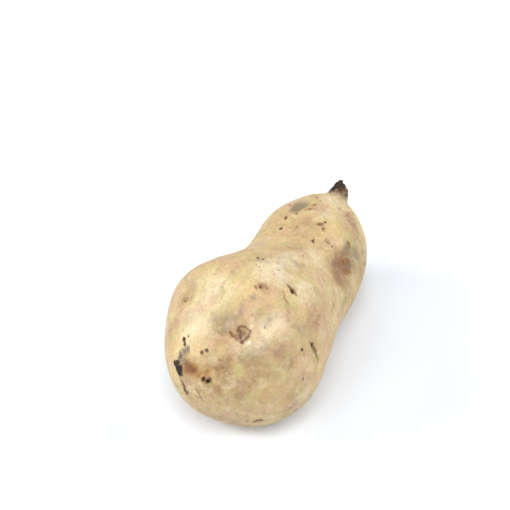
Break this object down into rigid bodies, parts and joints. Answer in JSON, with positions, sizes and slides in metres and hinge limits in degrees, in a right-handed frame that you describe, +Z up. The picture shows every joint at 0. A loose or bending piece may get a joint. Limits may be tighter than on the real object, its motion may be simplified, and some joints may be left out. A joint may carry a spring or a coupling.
{
  "type": "sweet potato",
  "caption": "Whole raw sweet potato with pale cream skin, broad at the root end, slightly waisted, rounded at the stem end with a dark corky stub, lying on its side.",
  "frame": {"origin": "under the middle of the bounding box, on the surface that the root lies on", "axes": "+X along the root, from its root tip to its stem stub; +Z up; +Y to the side that the stem end bends towards"},
  "size_m": [0.1534, 0.075, 0.076],
  "materials": {
    "skin": "thin dry pale cream root skin, dull to slightly waxy, with fine cork specks, small dark eyes, grey and brown blemishes and a dark corky stub"
  },
  "bodies": {
    "root": {"sweet_potato": "skin"}
  },
  "joints": []
}
